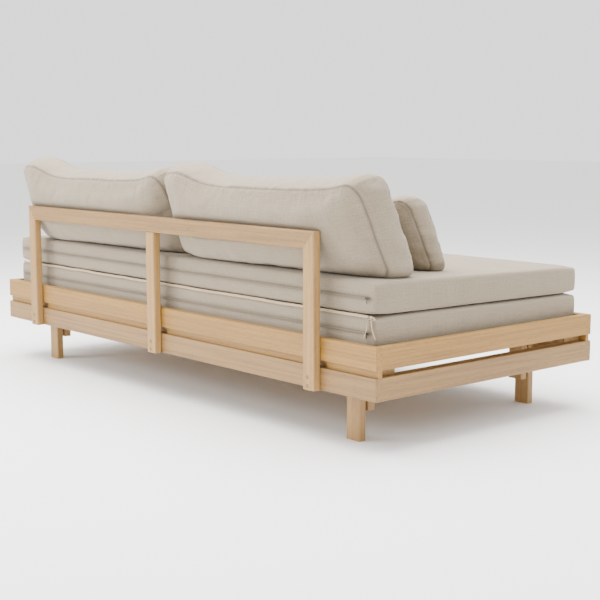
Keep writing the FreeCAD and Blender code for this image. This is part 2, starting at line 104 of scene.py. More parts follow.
def selectWhere(piece, kind, test):
    # select the faces, edges or vertices that pass a test, and open the piece for editing
    makeActive(piece)
    mesh = piece.data
    for group in (mesh.vertices, mesh.edges, mesh.polygons):
        group.foreach_set("select", [False] * len(group))
    chosen = {"FACE": mesh.polygons, "EDGE": mesh.edges, "VERT": mesh.vertices}[kind]
    for element in chosen:
        element.select = bool(test(element))
    bpy.context.tool_settings.mesh_select_mode = (kind == "VERT", kind == "EDGE", kind == "FACE")
    bpy.ops.object.mode_set(mode="EDIT")


def closeEdit():
    bpy.ops.object.mode_set(mode="OBJECT")


def join(pieces, name):
    deselectAll()
    for piece in pieces:
        piece.select_set(True)
    bpy.context.view_layer.objects.active = pieces[0]
    bpy.ops.object.join()
    pieces[0].name = name
    return pieces[0]


def copyOf(piece, name):
    twin = piece.copy()
    twin.data = piece.data.copy()
    twin.name = name
    bpy.context.scene.collection.objects.link(twin)
    return twin


def dress(piece, material, smoothAngle=None):
    piece.data.materials.clear()
    piece.data.materials.append(material)
    if smoothAngle is not None:
        makeActive(piece)
        bpy.ops.object.shade_smooth_by_angle(angle=math.radians(smoothAngle))


# materials

def toLinear(hexText):
    shares = [int(hexText[i:i + 2], 16) / 255 for i in (1, 3, 5)]
    return tuple(c / 12.92 if c <= 0.04045 else ((c + 0.055) / 1.055) ** 2.4 for c in shares) + (1.0,)


def addNode(tree, kind, settings=None, links=None, ramp=None):
    # one node with its settings, its fixed inputs, its links and, on a ramp, its stops
    node = tree.nodes.new(kind)
    for name, setting in (settings or {}).items():
        if isinstance(name, int) or name in node.inputs:
            node.inputs[name].default_value = setting
        else:
            setattr(node, name, setting)
    for name, source in (links or {}).items():
        tree.links.new(source, node.inputs[name])
    if ramp:
        stops = node.color_ramp.elements
        stops[0].position, stops[0].color = ramp[0]
        stops[1].position, stops[1].color = ramp[-1]
        for place, color in ramp[1:-1]:
            stops.new(place).color = color
    return node


def newMaterial(name, settings):
    # an empty material that ends in one shader with these fixed values
    material = bpy.data.materials.new(name)
    material.use_nodes = True
    tree = material.node_tree
    tree.nodes.clear()
    shader = addNode(tree, "ShaderNodeBsdfPrincipled", settings)
    addNode(tree, "ShaderNodeOutputMaterial", links={"Surface": shader.outputs["BSDF"]})
    return material, tree, shader


def gray(level):
    return (level, level, level, 1.0)


def patternPlace(tree, scale, source="Object", shift=(0, 0, 0)):
    # coordinates in metres, stretched for a pattern
    coordinates = addNode(tree, "ShaderNodeTexCoord")
    return addNode(tree, "ShaderNodeMapping", {"Scale": scale, "Location": shift},
                   {"Vector": coordinates.outputs[source]}).outputs["Vector"]


oak = {
    "figureLength": 0.5,     # metres over which the grain's bands drift
    "bandWidth": 0.009,      # dark late wood to the next
    "poreLength": 0.022,
    "poreWidth": 0.0016,     # real pores are 0.3 mm wide: drawn coarse, or they would not show
    "driftLength": 1.05,     # slow changes of shade from one part of a board to the next
    "driftWidth": 0.0875,
    "bandEdges": (0.30, 0.62),     # where the bands' noise turns from dark to pale
    "poreEdges": (0.30, 0.46),
    "poreShade": 0.22,             # how much darker a pore is
    "driftEdges": (0.30, 0.70),
    "driftShades": (0.90, 1.05),
    "poreRelief": 0.0005,
    "roughness": 0.52,
    "roughnessRange": (0.46, 0.62),
    "boardShift": 2.3,             # metres along the pattern from one tone's boards to the next
}


def woodMaterial(name, grain, pale, dark, shift=0.0, contrast=1.0):
    # Clear-oiled wood, sawn and sanded: straight soft bands and short dark pores along the grain.
    # The eye sees a dry satin surface with fine streaks, quiet across and long along the board.
    material, tree, shader = newMaterial(name, {"Roughness": oak["roughness"], "IOR": 1.5})
    along = "xyz".index(grain)

    def stretch(length, width):
        return tuple(1 / length if axis == along else 1 / width for axis in range(3))

    offset = (shift, shift * 1.7, shift * 0.6)
    bands = addNode(tree, "ShaderNodeTexNoise", {"Scale": 1.0, "Detail": 3.0, "Roughness": 0.6,
                                                 "Distortion": 0.4},
                    {"Vector": patternPlace(tree, stretch(oak["figureLength"], oak["bandWidth"]),
                                            shift=offset)})
    pores = addNode(tree, "ShaderNodeTexNoise", {"Scale": 1.0, "Detail": 1.0},
                    {"Vector": patternPlace(tree, stretch(oak["poreLength"], oak["poreWidth"]),
                                            shift=offset)})
    drift = addNode(tree, "ShaderNodeTexNoise", {"Scale": 1.0, "Detail": 2.0},
                    {"Vector": patternPlace(tree, stretch(oak["driftLength"], oak["driftWidth"]),
                                            shift=offset)})
    bandColor = addNode(tree, "ShaderNodeValToRGB", links={"Fac": bands.outputs["Fac"]},
                        ramp=list(zip(oak["bandEdges"], (toLinear(dark), toLinear(pale)))))
    driftShade = addNode(tree, "ShaderNodeValToRGB", links={"Fac": drift.outputs["Fac"]},
                         ramp=list(zip(oak["driftEdges"], map(gray, oak["driftShades"]))))
    drifted = addNode(tree, "ShaderNodeMix", {"data_type": "RGBA", "blend_type": "MULTIPLY", "Factor": 1.0},
                      {6: bandColor.outputs["Color"], 7: driftShade.outputs["Color"]})
    poreMask = addNode(tree, "ShaderNodeValToRGB", links={"Fac": pores.outputs["Fac"]},
                       ramp=list(zip(oak["poreEdges"], map(gray, (1 - oak["poreShade"] * contrast, 1)))))
    pored = addNode(tree, "ShaderNodeMix", {"data_type": "RGBA", "blend_type": "MULTIPLY", "Factor": 1.0},
                    {6: drifted.outputs[2], 7: poreMask.outputs["Color"]})
    relief = addNode(tree, "ShaderNodeBump", {"Strength": 0.25, "Distance": oak["poreRelief"]},
                     {"Height": poreMask.outputs["Color"]})
    lowest, highest = oak["roughnessRange"]
    gloss = addNode(tree, "ShaderNodeMapRange", {"To Min": lowest, "To Max": highest},
                    {"Value": bands.outputs["Fac"]})
    tree.links.new(pored.outputs[2], shader.inputs["Base Color"])
    tree.links.new(relief.outputs["Normal"], shader.inputs["Normal"])
    tree.links.new(gloss.outputs["Result"], shader.inputs["Roughness"])
    return material


linen = {
    "thread": 0.001383,     # the real yarn is 0.7 mm: drawn coarse, or the weave would not show
    "slubLength": 0.06,     # thick places in the yarn
    "slubWidth": 0.0032,
    "fleck": 0.0035,        # mottling of the two yarn colours
    "cloud": 0.12,          # slow changes of shade
    "cloudShades": (0.96, 1.03),
    "yarnWeight": 0.35,     # the slubs' share in the mottling
}


def clothMaterial(name, pale, dark, seam, relief=0.35):
    # Linen and cotton melange, plain woven: two yarn colours that mix to a warm grey-beige.
    # The eye sees a dry matt cloth with faint slubs both ways and a soft bloom at grazing angles.
    material, tree, shader = newMaterial(name, {"Roughness": 0.92, "IOR": 1.45, "Sheen Weight": 0.25,
                                                "Sheen Roughness": 0.5, "Sheen Tint": toLinear("#f2ece2")})
    warp = addNode(tree, "ShaderNodeTexNoise", {"Scale": 1.0, "Detail": 2.0},
                   {"Vector": patternPlace(tree, (1 / linen["slubLength"], 1 / linen["slubWidth"], 1),
                                           "UV")})
    weft = addNode(tree, "ShaderNodeTexNoise", {"Scale": 1.0, "Detail": 2.0},
                   {"Vector": patternPlace(tree, (1 / linen["slubWidth"], 1 / linen["slubLength"], 1), "UV",
                                           (3.1, 1.7, 0))})
    flecks = addNode(tree, "ShaderNodeTexNoise", {"Scale": 1 / linen["fleck"], "Detail": 3.0},
                     {"Vector": patternPlace(tree, (1, 1, 1), "UV")})
    clouds = addNode(tree, "ShaderNodeTexNoise", {"Scale": 1 / linen["cloud"], "Detail": 2.0},
                     {"Vector": patternPlace(tree, (1, 1, 1), "UV", (5, 2, 0))})
    yarns = addNode(tree, "ShaderNodeMath", {"operation": "ADD"},
                    {0: warp.outputs["Fac"], 1: weft.outputs["Fac"]})
    mottled = addNode(tree, "ShaderNodeMath", {"operation": "MULTIPLY_ADD", 1: linen["yarnWeight"]},
                      {0: yarns.outputs[0], 2: flecks.outputs["Fac"]})
    color = addNode(tree, "ShaderNodeValToRGB", links={"Fac": mottled.outputs[0]},
                    ramp=[(0.55, toLinear(dark)), (1.0, toLinear(pale))])
    cloudShade = addNode(tree, "ShaderNodeValToRGB", links={"Fac": clouds.outputs["Fac"]},
                         ramp=list(zip((0.3, 0.7), map(gray, linen["cloudShades"]))))
    clouded = addNode(tree, "ShaderNodeMix", {"data_type": "RGBA", "blend_type": "MULTIPLY", "Factor": 1.0},
                      {6: color.outputs["Color"], 7: cloudShade.outputs["Color"]})
    # painted shade: along the sewn seams and the zip, the seamShade attribute mixes the seam colour into
    # the cloth for the shadow in the groove
    grooveShade = addNode(tree, "ShaderNodeAttribute", {"attribute_name": "seamShade"})
    grooveShaded = addNode(tree, "ShaderNodeMix", {"data_type": "RGBA", 7: toLinear(seam)},
                       {0: grooveShade.outputs["Fac"], 6: clouded.outputs[2]})
    threadScale = math.pi / 10 / linen["thread"]    # at scale 1 the node draws a band every pi / 10
    threads = [addNode(tree, "ShaderNodeTexWave", {"Scale": threadScale, "Distortion": 1.5, "Detail": 1.0,
                                                   "bands_direction": way},
                       {"Vector": patternPlace(tree, (1, 1, 1), "UV")}) for way in ("X", "Y")]
    weave = addNode(tree, "ShaderNodeMath", {"operation": "MULTIPLY"},
                    {0: threads[0].outputs["Fac"], 1: threads[1].outputs["Fac"]})
    height = addNode(tree, "ShaderNodeMath", {"operation": "ADD"},
                     {0: weave.outputs[0], 1: mottled.outputs[0]})
    bump = addNode(tree, "ShaderNodeBump", {"Strength": relief, "Distance": 0.0006},
                   {"Height": height.outputs[0]})
    tree.links.new(grooveShaded.outputs[2], shader.inputs["Base Color"])
    tree.links.new(bump.outputs["Normal"], shader.inputs["Normal"])
    return material


def grainyMaterial(name, pale, dark, grainSize, fixed, relief=0.2):
    # a plain finish with fine mottling and relief of one size, such as foam, fibre, lacquer or plating
    material, tree, shader = newMaterial(name, fixed)
    grit = addNode(tree, "ShaderNodeTexNoise", {"Scale": 1 / grainSize, "Detail": 2.0},
                   {"Vector": patternPlace(tree, (1, 1, 1))})
    color = addNode(tree, "ShaderNodeValToRGB", links={"Fac": grit.outputs["Fac"]},
                    ramp=[(0.35, toLinear(dark)), (0.65, toLinear(pale))])
    bump = addNode(tree, "ShaderNodeBump", {"Strength": relief, "Distance": grainSize / 2},
                   {"Height": grit.outputs["Fac"]})
    tree.links.new(color.outputs["Color"], shader.inputs["Base Color"])
    tree.links.new(bump.outputs["Normal"], shader.inputs["Normal"])
    return material


print("materials")
oakTones = {
    # pale wood, dark wood, and the axes along which this tone's boards run
    "upper": ("#9a7332", "#825d24", "xy"),   # warm
    "lower": ("#8f6e3f", "#765630", "xy"),   # a little greyer
    "rail": ("#8e6d3d", "#77562e", "x"),
    "post": ("#a4804c", "#8e6a3b", "z"),     # pale and clear
}
oakMaterials = {}
for number, (tone, (pale, dark, grains)) in enumerate(oakTones.items()):
    for grain in grains:
        oakMaterials[tone, grain] = woodMaterial(f"oiledOak_{tone}_{grain}", grain, pale, dark,
                                                 shift=number * oak["boardShift"])
# Pine, planed and left bare: paler than the oak, with only faint pores
pineMaterials = {grain: woodMaterial(f"planedPine_{grain}", grain, "#a9834e", "#8f693a",
                                     shift=9.1, contrast=0.3) for grain in "xy"}
# Beech dowel, turned: pale pinkish brown and close-grained
beechMaterial = woodMaterial("beechDowel", "y", "#d3ab7c", "#c1946a", shift=4.4, contrast=0.4)
# each cloth's last colour is painted shade, mixed in by the seamShade attribute along sewn grooves and the
# zip
coverMaterial = clothMaterial("linenMelange", "#908370", "#726551", "#4f4538")
tapeMaterial = clothMaterial("cottonTape", "#b59e80", "#9c8566", "#7d6a4e", 0.5)
zipTapeMaterial = clothMaterial("zipTape", "#83755f", "#6e614e", "#4c4336", 0.5)
# Polyurethane foam, cut: fine open cells, matt and faintly yellow
foamMaterial = grainyMaterial("cutFoam", "#ece3c4", "#d9cea8", 0.003, {"Roughness": 0.95}, 0.6)
# Polyester fibre, carded: white and woolly
fibreMaterial = grainyMaterial("cardedFibre", "#f2f1ec", "#dedcd4", 0.012, {"Roughness": 1.0}, 0.8)
# Steel, zinc plated: cool grey with a slight crystalline mottling
zincMaterial = grainyMaterial("zincPlatedSteel", "#b9b6ae", "#9c9a94", 0.002,
                              {"Metallic": 1.0, "Roughness": 0.38})
# Steel screws, burnished brown: dull, so that they read as small dark rings in the wood
boltMaterial = grainyMaterial("burnishedSteel", "#9b8368", "#7d674f", 0.001,
                              {"Metallic": 0.8, "Roughness": 0.45})
# Die-cast zinc under lacquer: smooth, dull dark bronze-grey
sliderMaterial = grainyMaterial("lacqueredCasting", "#4a443b", "#38332c", 0.001,
                                {"Metallic": 0.6, "Roughness": 0.4})
# Polyester coil of the zip: smooth thread, slightly shiny
coilMaterial = grainyMaterial("polyesterCoil", "#7d7264", "#6a6054", 0.001, {"Roughness": 0.5})


# camera, light and floor

view = {"azimuth": 229.16, "elevation": 7.806, "distance": 4.395, "lens": 72.6, "height": 0.2814,
        "across": (-0.0505, -0.1175)}


def setCamera():
    azimuth, elevation = math.radians(view["azimuth"]), math.radians(view["elevation"])
    towards = Vector((math.sin(azimuth) * math.cos(elevation), -math.cos(azimuth) * math.cos(elevation),
                      math.sin(elevation)))
    target = Vector((view["across"][0], view["across"][1], view["height"]))
    deselectAll()
    bpy.ops.object.camera_add(location=target + towards * view["distance"])
    camera = bpy.context.object
    camera.rotation_euler = (-towards).to_track_quat("-Z", "Y").to_euler()
    camera.data.lens = view["lens"]
    bpy.context.scene.camera = camera


lights = {
    "top": {"place": (0.2, 0.2, 3.4), "aim": (0, 0, 0.3), "size": 4.5, "power": 640},
    "key": {"place": (2.6, 4.0, 2.1), "aim": (0, 0, 0.4), "size": 1.2, "power": 120},
    "end": {"place": (-4.6, -0.6, 1.8), "aim": (-0.8, 0, 0.3), "size": 2.4, "power": 4},
}
room = {"white": "#ffffff", "glow": 1.75, "floorSize": 60, "floorColor": "#f4f3f1"}


def setLights():
    for name, plan in lights.items():
        bpy.ops.object.light_add(type="AREA", location=plan["place"])
        lamp = bpy.context.object
        lamp.name = f"{name}Light"
        towards = Vector(plan["aim"]) - Vector(plan["place"])
        lamp.rotation_euler = towards.to_track_quat("-Z", "Y").to_euler()
        lamp.data.size = plan["size"]
        lamp.data.energy = plan["power"]
    world = bpy.data.worlds.new("studio")
    world.use_nodes = True
    background = world.node_tree.nodes["Background"]
    background.inputs["Color"].default_value = toLinear(room["white"])
    background.inputs["Strength"].default_value = room["glow"]
    bpy.context.scene.world = world


def layFloor():
    deselectAll()
    bpy.ops.mesh.primitive_plane_add(size=room["floorSize"])
    floor = bpy.context.object
    floor.name = "floor"
    paint = newMaterial("paleFloor", {"Base Color": toLinear(room["floorColor"]), "Roughness": 0.9})[0]
    dress(floor, paint)


print("camera and light")
setCamera()
setLights()
layFloor()


# the tie's two loose ends, first of all the pieces

tail = {
    "halfWidth": 0.004,
    "halfThickness": 0.0005,
    "length": 0.052,
    "turn": 45,    # degrees that the flat tape is turned about its own length
}


def makeTail(name, points):
    # a limp flat tape that hangs from the knot
    deselectAll()
    bpy.ops.curve.primitive_nurbs_path_add()
    piece = bpy.context.object
    piece.name = f"{name}_cord"
    curve = piece.data
    curve.splines.clear()
    spline = curve.splines.new("NURBS")
    spline.points.add(len(points) - 1)
    for point, place in zip(spline.points, points):
        point.co = (*place, 1)
        point.tilt = math.radians(tail["turn"])
    spline.order_u = 3
    spline.use_endpoint_u = True
    curve.dimensions = "3D"
    curve.extrude = tail["halfWidth"]
    curve.bevel_depth = tail["halfThickness"]
    curve.bevel_resolution = 1
    curve.materials.append(tapeMaterial)
    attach(piece, "upper_mattress")
    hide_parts(name)


def tailRoute(name, drift):
    # straight down from the knot, then drifting aside
    low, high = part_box(name)
    x, y = (low.x + high.x) / 2, (low.y + high.y) / 2
    steps = (0, 0.2, 0.42, 0.62, 0.82, 1.0)
    return [(x + drift[0] * s * s, y + drift[1] * s * s, high.z - tail["length"] * s) for s in steps]


print("tie ends")
makeTail("tie_tail_inner", tailRoute("tie_tail_inner", (0.014, 0.001)))
makeTail("tie_tail_outer", tailRoute("tie_tail_outer", (-0.013, -0.004)))


# soft goods

def gridBox(name, size, cell):
    # a box of near-square quads, centred on X and Y and standing on Z 0, with cloth UVs in metres
    deselectAll()
    bpy.ops.mesh.primitive_cube_add(size=1, location=(0, 0, size[2] / 2), scale=size)
    piece = bpy.context.object
    piece.name = name
    applyPlace(piece)
    for axis in range(3):
        corners = places(piece)

        def runsAlong(edge):
            first, second = (corners[number] for number in edge.vertices)
            return abs(first[axis] - second[axis]) > 0.5 * np.linalg.norm(first - second)

        cuts = 2 * round(size[axis] / cell / 2) - 1
        selectWhere(piece, "EDGE", runsAlong)
        bpy.ops.mesh.subdivide(number_cuts=cuts)
        closeEdit()
    layCloth(piece)
    return piece


def layCloth(piece):
    # cloth coordinates in metres on each face of the box, before it is shaped
    mesh = piece.data
    layer = mesh.uv_layers.active or mesh.uv_layers.new(name="cloth")
    rows = places(piece)
    for face in mesh.polygons:
        facing = max(range(3), key=lambda axis: abs(face.normal[axis]))
        across, up = ((1, 2), (0, 2), (0, 1))[facing]
        for corner in face.loop_indices:
            row = rows[mesh.loops[corner].vertex_index]
            layer.data[corner].uv = (row[across], row[up])


def roundCorner(a, b, halfA, halfB, radius):
    # moves points in the square corners of a rectangle into round ones
    overA = np.abs(a) - (halfA - radius)
    overB = np.abs(b) - (halfB - radius)
    inside = (overA > 0) & (overB > 0)
    length = np.maximum(np.hypot(overA, overB), noLength)
    share = np.where(inside, np.maximum(overA, overB) / length, 1)
    newA = np.where(inside, np.sign(a) * (halfA - radius + overA * share), a)
    newB = np.where(inside, np.sign(b) * (halfB - radius + overB * share), b)
    return newA, newB


def waves(rows, size, seed):
    # smooth noise from -1 to 1 at every row, with bumps of one size
    return np.array([noise.noise(Vector(row) / size + Vector((seed, seed * 0.7, seed * 1.3)))
                     for row in rows])


def markRows(piece, name, chosen):
    # a vertex group on the chosen rows, which fades out over one cell when the mesh is subdivided
    group = piece.vertex_groups.new(name=name)
    group.add([int(number) for number in np.flatnonzero(chosen)], 1.0, "REPLACE")


def readGroup(piece, name):
    number = piece.vertex_groups[name].index
    weights = np.zeros(len(piece.data.vertices))
    for vertex in piece.data.vertices:
        for entry in vertex.groups:
            if entry.group == number:
                weights[vertex.index] = entry.weight
    return weights


def sewIn(piece, name, depth, shade):
    # sinks the marked rows into a sewn groove, and paints shade along it: the seamShade attribute darkens
    # the cloth where the groove's shadow falls
    weights = readGroup(piece, name)
    setPlaces(piece, places(piece) - vertexNormals(piece) * (depth * weights ** 1.5)[:, None])
    attributes = piece.data.attributes
    layer = attributes.get("seamShade") or attributes.new("seamShade", "FLOAT", "POINT")
    shades = np.zeros(len(weights))
    layer.data.foreach_get("value", shades)
    # painted shade, strongest on the seam rows and fading over the next ring
    layer.data.foreach_set("value", np.maximum(shades, shade * np.clip(weights * 1.5 - 0.5, 0, 1)))


cloth = {"frames": 20, "quality": 6, "pressure": 4.0, "cap": 0.012, "mass": 0.25, "tension": 12.0,
         "bending": 0.4}


def fillWithAir(piece, plan):
    # inflates the sewn cover by a short cloth run, with its seams drawn tight, and caps the movement
    makeActive(piece)
    before = places(piece)
    modifier = piece.modifiers.new("stuffing", "CLOTH")
    settings = modifier.settings
    settings.quality = plan["quality"]
    settings.mass = plan["mass"]
    settings.tension_stiffness = plan["tension"]
    settings.compression_stiffness = plan["tension"]
    settings.bending_stiffness = plan["bending"]
    settings.use_pressure = True
    settings.uniform_pressure_force = plan["pressure"]
    settings.vertex_group_shrink = "seam"
    settings.shrink_max = plan["shrink"]
    settings.effector_weights.gravity = 0
    modifier.point_cache.frame_start = 1
    modifier.point_cache.frame_end = plan["frames"]
    for number in range(1, plan["frames"] + 1):
        bpy.context.scene.frame_set(number)
    bpy.ops.object.modifier_apply(modifier=modifier.name)
    bpy.context.scene.frame_set(1)
    moved = places(piece) - before
    reach = np.maximum(np.linalg.norm(moved, axis=1), noLength)
    setPlaces(piece, before + moved * np.minimum(1, plan["cap"] / reach)[:, None])


def finishSoft(piece, body, node):
    dress(piece, coverMaterial)
    makeActive(piece)
    bpy.ops.object.shade_smooth()
    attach(piece, body)
    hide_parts(node)


def fillingFrom(piece, name, body, node, material, inset):
    # what the cover holds: its own shape, a little smaller
    core = copyOf(piece, name)
    core.vertex_groups.clear()
    setPlaces(core, places(core) - vertexNormals(core) * inset)
    dress(core, material)
    makeActive(core)
    bpy.ops.object.shade_smooth()
    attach(core, body)
    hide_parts(node)


mattress = {
    "cell": 0.0145,
    "corner": 0.009,
    "overhang": 0.006,     # a full cover stands this much beyond its cut size at the ends and the front
    "puff": 0.002,         # the sides swell this much between their edges
    "edgeDrop": 0.002,     # the top and bottom round off towards the edges
    "edgeReach": 0.04,
    "cornerDrop": 0.005,   # and further at the four corners
    "cornerReach": 0.07,
    "frontDrop": {"lower": (0.0, 0.010), "upper": (0.010, 0.019)},   # bottom and top, at the front edge
    "fallStart": 0.40,     # the mattresses fall forward from here
    "fallLength": 0.86,
    "wave": 0.0014,        # the cover's unevenness
    "waveSize": 0.16,
    "waveSink": 0.6,       # the unevenness lies mostly inwards
    "seed": {"lower": 8.0, "upper": 3.0},
    "zipDepth": 0.0022,
    # how strongly painted shade darkens the cover along the zip's groove
    "zipShade": 0.8,
    "coreInset": 0.007,
    "fill": 1.0,
}


def fallShare(y):
    # how far the mattresses have fallen forward at each place, from 0 to 1
    return np.clip((mattress["fallStart"] - y) / mattress["fallLength"], 0, 1)


def makeMattress(level):
    low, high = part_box(f"{level}_mattress_cover")
    plan = mattress
    low = low - Vector((plan["overhang"], plan["overhang"], 0))
    high = high + Vector((plan["overhang"], 0, 0))
    size = high - low
    middle = (low + high) / 2
    piece = gridBox(f"{level}_mattress", tuple(size), plan["cell"])
    x, y, z = places(piece).T
    halfX, halfY, tall = size.x / 2, size.y / 2, size.z
    atZip = (y > halfY - hair) & (np.abs(z - tall / 2) < plan["cell"] / 3)
    markRows(piece, "zip", atZip & (np.abs(x) < halfX - plan["corner"]))
    up = 2 * z / tall - 1
    edge = np.minimum(halfX - np.abs(x), halfY - np.abs(y))
    cornerAway = np.hypot(halfX - np.abs(x), halfY - np.abs(y))
    drop = plan["edgeDrop"] * (1 - ease(edge / plan["edgeReach"]))
    drop += plan["cornerDrop"] * (1 - ease(cornerAway / plan["cornerReach"]))
    lowFall, highFall = plan["frontDrop"][level]
    fall = fallShare(y + middle.y) * (lowFall + (highFall - lowFall) * z / tall)
    z = z - drop * up * np.abs(up) - fall
    x, y = roundCorner(x, y, halfX, halfY, plan["corner"])
    draw = plan["puff"] * up ** 2
    x = x - np.sign(x) * draw * (np.abs(x) > halfX - plan["corner"])
    y = y - np.sign(y) * draw * (np.abs(y) > halfY - plan["corner"])
    rows = np.column_stack([x + middle.x, y + middle.y, z + middle.z - tall / 2])
    uneven = waves(rows, plan["waveSize"], plan["seed"][level])
    setPlaces(piece, rows)
    setPlaces(piece, rows + vertexNormals(piece) * (plan["wave"] * (uneven - plan["waveSink"]))[:, None])
    settleMattress(piece, level)
    fillingFrom(piece, f"{level}_mattress_core", f"{level}_mattress", f"{level}_mattress_foam",
                foamMaterial, plan["coreInset"])
    useModifier(piece, "SUBSURF", levels=1, render_levels=1)
    sewIn(piece, "zip", plan["zipDepth"], plan["zipShade"])
    finishSoft(piece, f"{level}_mattress", f"{level}_mattress_cover")


def settleMattress(piece, level):
    # keeps a mattress within its own height, so that it clears the slats and the other one
    low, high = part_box(f"{level}_mattress_cover")
    rows = places(piece)
    lowFall, highFall = mattress["frontDrop"][level]
    share = fallShare(rows[:, 1])
    rows[:, 2] = np.clip(rows[:, 2], low.z - lowFall * share, high.z - highFall * share)
    setPlaces(piece, rows)


backCushion = {
    "cell": 0.0085,
    "gusset": 0.108,       # width of the band between the two panels
    "panel": 0.318,        # height of a panel along its lean
    "lean": 24.5,          # degrees
    "footTilt": 3.0,
    "topTilt": 17.0,
    "footSink": 0.004,     # the cushion presses this far into the seat, where it flattens
    "footTurn": 0.040,     # the right foot stands this much nearer to the rail
    "topTurn": 0.6,        # and that end droops back less by this share
    "crown": (0.036, 0.050),   # how far the front and rear panels swell at their middle
    "topCorner": 0.050,
    "footCorner": 0.044,
    "pull": 0.008,         # how far the ends draw in between their corners
    "sag": 0.019,          # how far the top edge dips between its corners
    "ear": (0.78, 0.21, 0.028),   # a raised corner: its place along the cushion, width and height
    "droop": 0.030,        # the top rolls back over the rail
    "puff": 0.010,         # swelling of the band
    "crease": 0.0038,
    "endCrease": 0.0046,   # deeper folds in the ends
    "endReach": 0.11,
    "pucker": 0.0022,
    "puckerSize": 0.014,
    "puckerRings": 4,      # how many cells beyond a seam it puckers
    "seamDepth": 0.0026,
    # how strongly painted shade darkens the cloth along the sewn seams
    "seamShade": 0.8,
    "shrink": 0.02,        # how much the seams draw together
    "coreInset": 0.010,
    "fill": 0.7,
    **cloth,
}
smallCushion = {
    **backCushion,
    "cell": 0.0075,
    "gusset": 0.066,
    "panel": 0.252,
    "lean": 25.0,
    "topTilt": 13.0,
    "footTurn": 0.0,
    "topTurn": 0.0,
    "crown": (0.026, 0.026),
    "topCorner": 0.036,
    "footCorner": 0.034,
    "pull": 0.006,
    "sag": 0.010,
    "ear": (0.7, 0.25, 0.004),
    "droop": 0.024,
    "cap": 0.009,
}


def shapeCushion(piece, plan, length, footX, footY, footZ):
    # from a plain box to a crowned, sagging, leaning cushion
    x, t, h = places(piece).T
    halfLength, halfBand, tall = length / 2, plan["gusset"] / 2, plan["panel"]
    markRows(piece, "seam", (np.abs(t) > halfBand - hair)
             & ((np.abs(x) > halfLength - hair) | (h < hair) | (h > tall - hair)))
    radius = np.where(h > tall / 2, plan["topCorner"], plan["footCorner"])
    x, rise = roundCorner(x, h - tall / 2, halfLength, tall / 2, radius)
    across, up = x / halfLength, rise / (tall / 2)
    upFill = np.where(up > 0, 1 - np.abs(up) ** 2.4, 1 - np.abs(up) ** 6)
    fill = (1 - np.abs(across) ** 5) * upFill
    band = 1 - (t / halfBand) ** 2
    t = t + (t / halfBand) * np.where(t > 0, plan["crown"][1], plan["crown"][0]) * fill
    outer = np.maximum(np.abs(across), np.abs(up)) ** 6
    x = x + np.sign(x) * outer * (plan["puff"] * band * (np.abs(across) > 0.9)
                                  - plan["pull"] * (1 - up ** 2) * np.abs(across) ** 8)
    topShare = ease((up + 1) / 2)
    earPlace, earWidth, earHeight = plan["ear"]
    rise = rise + np.sign(rise) * outer * plan["puff"] * band * (np.abs(up) > 0.9)
    rise = rise - plan["sag"] * topShare * (1 - np.abs(across) ** 3)
    rise = rise + earHeight * topShare * np.exp(-((across - earPlace) / earWidth) ** 2)
    h = rise + tall / 2
    share = np.clip(h / tall, 0, 1.1)
    lean = math.radians(plan["lean"])
    tilt = np.radians(plan["footTilt"] + (plan["topTilt"] - plan["footTilt"]) * share)
    rightShare = (across + 1) / 2
    turn = plan["footTurn"] * (1 - share ** 2) * rightShare
    droop = plan["droop"] * share ** 5 * (1 - plan["topTurn"] * rightShare)
    y = footY + h * math.sin(lean) + t * np.cos(tilt) + droop + turn
    z = footZ + h * math.cos(lean) - t * np.sin(tilt)
    setPlaces(piece, np.column_stack([x + footX, y, z]))


creases = {
    # size in metres, and how much each axis is squeezed: a crease lies along the least squeezed one
    "broad": (0.11, (0.6, 1, 1.6)),
    "fine": (0.035, (1, 1, 0.5)),
    "fold": (0.04, (1, 0.5, 1.3)),
    "broadShare": 0.8,
    "fineShare": 0.5,
}


def creaseWaves(rows, kind, seed):
    size, squeeze = creases[kind]
    return waves(rows * np.array(squeeze), size, seed)


def crumple(piece, plan, seed):
    # soft creases over the panels, and deeper folds in the ends
    rows = places(piece)
    broad = creaseWaves(rows, "broad", seed)
    fine = creaseWaves(rows, "fine", seed + 4)
    folds = creaseWaves(rows, "fold", seed + 8)
    fromEnd = np.minimum(rows[:, 0] - rows[:, 0].min(), rows[:, 0].max() - rows[:, 0])
    endShare = 1 - ease(fromEnd / plan["endReach"])
    soft = broad * creases["broadShare"] + fine * creases["fineShare"]
    shift = plan["crease"] * soft + plan["endCrease"] * folds * endShare
    setPlaces(piece, rows + vertexNormals(piece) * shift[:, None])


def puckerSeams(piece, plan, seed):
    weights = readGroup(piece, "seamNear")
    rows = places(piece)
    ripple = waves(rows, plan["puckerSize"], seed)
    setPlaces(piece, rows + vertexNormals(piece) * (plan["pucker"] * ripple * weights)[:, None])


fade = 0.72      # what a grown group keeps from one ring of neighbours to the next
faintest = 0.02    # a share no larger than this is left out of the group


def growGroup(piece, name, grownName, rings):
    # a second group that fades out over several rings of neighbours
    weights = readGroup(piece, name)
    edges = np.array([edge.vertices[:] for edge in piece.data.edges])
    for _ in range(rings):
        spread = weights.copy()
        np.maximum.at(spread, edges[:, 0], weights[edges[:, 1]] * fade)
        np.maximum.at(spread, edges[:, 1], weights[edges[:, 0]] * fade)
        weights = spread
    group = piece.vertex_groups.new(name=grownName)
    for number in np.flatnonzero(weights > faintest):
        group.add([int(number)], float(weights[number]), "REPLACE")


railLow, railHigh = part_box("back_top_rail")
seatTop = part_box("upper_mattress_cover")[1].z
clear = 0.0006    # soft pieces of different bodies stay this far apart
bulge = 1.2       # how steeply a cushion comes back out above and below the rail it leans on


